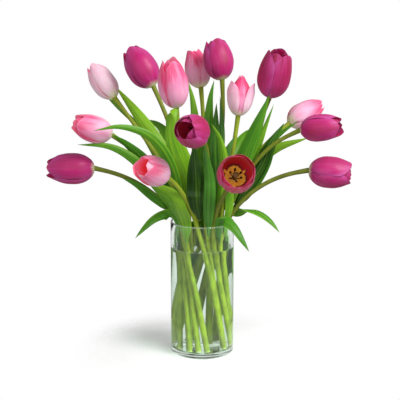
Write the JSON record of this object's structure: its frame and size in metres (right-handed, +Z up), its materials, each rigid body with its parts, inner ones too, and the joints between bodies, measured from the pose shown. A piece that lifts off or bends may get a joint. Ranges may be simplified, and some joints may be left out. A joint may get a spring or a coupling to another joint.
{
  "type": "tulips in a glass vase",
  "caption": "Bouquet of cut tulips with leaves, standing in a straight clear glass cylinder vase of water; magenta, pink and rose blooms.",
  "frame": {"origin": "centre of the vase's flat underside", "axes": "+Z up along the vase, -Y towards the front of the arrangement, +X to the right seen from the front"},
  "size_m": [0.4532, 0.3091, 0.4738],
  "materials": {
    "glass": "clear polished soda glass, faintly grey-green at the thick base",
    "water": "clear still water",
    "stem": "satin plant stem, olive above the water and yellow-green in it",
    "leaf": "satin leaf with fine parallel veins",
    "petal_magenta": "satin petal, violet-pink sheen, dark inside, cream at the base",
    "petal_pink": "satin petal, pale pink with hot pink edges and a cream-green base",
    "petal_rose": "satin petal, rose red, deep red inside"
  },
  "bodies": {
    "root": {"vase": "glass", "water": "water", "stem_01": "stem", "stem_02": "stem", "stem_03": "stem", "stem_04": "stem", "stem_05": "stem", "stem_06": "stem", "stem_07": "stem", "stem_08": "stem", "stem_09": "stem", "stem_10": "stem", "stem_11": "stem", "stem_12": "stem", "stem_13": "stem", "stem_14": "stem", "stem_15": "stem", "bloom_01": "petal_magenta", "bloom_02": "petal_pink", "bloom_03": "petal_pink", "bloom_04": "petal_magenta", "bloom_05": "petal_pink", "bloom_06": "petal_pink", "bloom_07": "petal_magenta", "bloom_08": "petal_pink", "bloom_09": "petal_magenta", "bloom_10": "petal_pink", "bloom_11": "petal_magenta", "bloom_12": "petal_magenta", "bloom_13": "petal_magenta", "bloom_14": "petal_rose", "bloom_15": "petal_rose", "leaf_upright_back": "leaf", "leaf_back_centre": "leaf", "leaf_narrow_back": "leaf", "leaf_dark_narrow": "leaf", "leaf_bright_right": "leaf", "leaf_under_right_stem": "leaf", "leaf_slim_right": "leaf", "leaf_dark_right": "leaf", "leaf_slim_left": "leaf", "leaf_broad_upper_left": "leaf", "leaf_dark_left": "leaf", "leaf_beside_left_stem": "leaf", "leaf_dark_centre": "leaf", "leaf_middle_right": "leaf", "leaf_broad_right": "leaf", "leaf_front_centre": "leaf", "leaf_folded_centre": "leaf", "leaf_long_left": "leaf", "leaf_low_left": "leaf", "leaf_broad_front_left": "leaf", "leaf_curled_front": "leaf", "leaf_front_right": "leaf", "leaf_drooping_left": "leaf", "leaf_drooping_right": "leaf", "leaf_drooping_front": "leaf", "leaf_rear_left": "leaf", "leaf_rear_right": "leaf", "leaf_drooping_rear": "leaf"}
  },
  "joints": []
}
